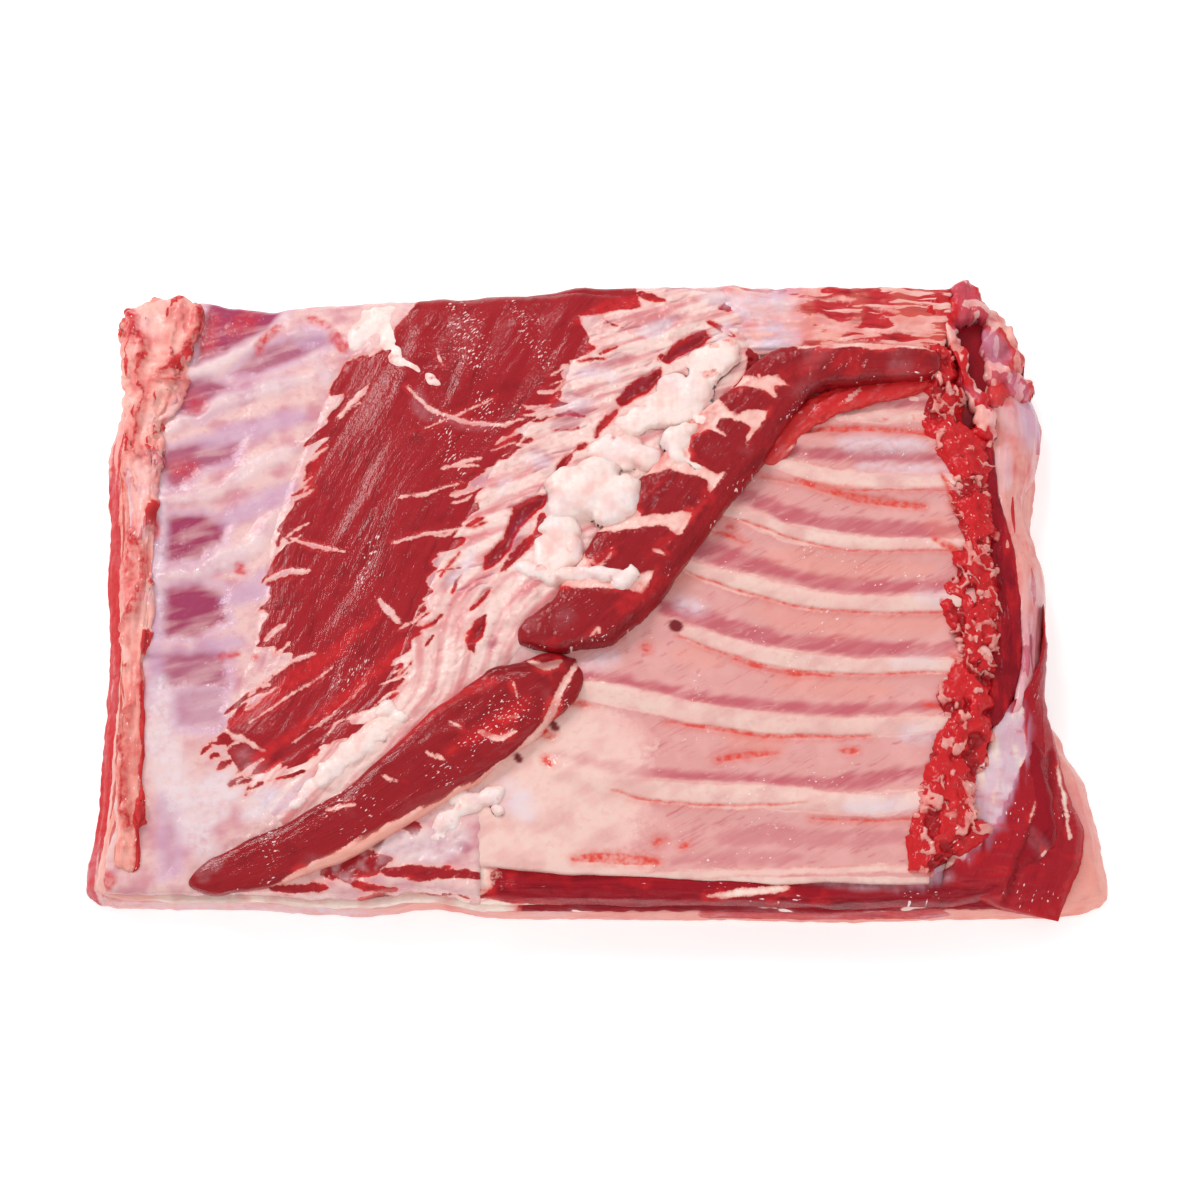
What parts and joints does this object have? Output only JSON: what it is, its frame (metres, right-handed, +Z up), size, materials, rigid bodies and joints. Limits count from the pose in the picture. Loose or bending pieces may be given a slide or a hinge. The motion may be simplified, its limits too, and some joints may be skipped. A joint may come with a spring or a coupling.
{
  "type": "raw pork ribs",
  "caption": "Raw bone-in side of pork, rind down: a plate of ribs under a thin skin, red flank and skirt muscle and white fat on top.",
  "frame": {"origin": "under the middle of the piece, on the surface it lies on", "axes": "+X along the ribs to their sawn ends, +Y from the front edge to the far edge, +Z up, the ribs' inner side facing up"},
  "size_m": [0.5695, 0.3802, 0.0589],
  "materials": {
    "rind": "moist pale pink pork rind and the salmon fat above it",
    "fat": "moist cream and pale pink fat",
    "lean": "wet red raw muscle with fine fibres",
    "dark_lean": "wet dark red raw muscle",
    "rib_skin": "wet thin skin over pink meat between the ribs",
    "rib": "cream rib under wet thin skin",
    "sinew": "wet pinkish white sinew with lilac tints"
  },
  "bodies": {
    "root": {"rind_and_fat": "rind", "outer_lean": "dark_lean", "seam_fat": "fat", "inner_lean": "dark_lean", "belly_fat": "fat", "flank_muscle": "lean", "sinew_band": "sinew", "rib_plate": "rib_skin", "rib_1": "rib", "rib_2": "rib", "rib_3": "rib", "rib_4": "rib", "rib_5": "rib", "rib_6": "rib", "rib_7": "rib", "rib_8": "rib", "rib_9": "rib", "rib_end_meat": "dark_lean", "skirt_upper": "lean", "skirt_lower": "lean", "skirt_tendon": "dark_lean", "edge_roll": "fat", "corner_fold": "lean", "corner_flap": "sinew", "far_edge_meat": "lean", "fat_lump_large": "fat", "fat_lump_tail": "fat", "fat_lump_upper": "fat", "fat_lump_small": "fat", "fat_lump_end": "fat", "fat_lump_far": "fat", "fat_lump_flank": "fat", "fat_lump_under": "fat"}
  },
  "joints": []
}
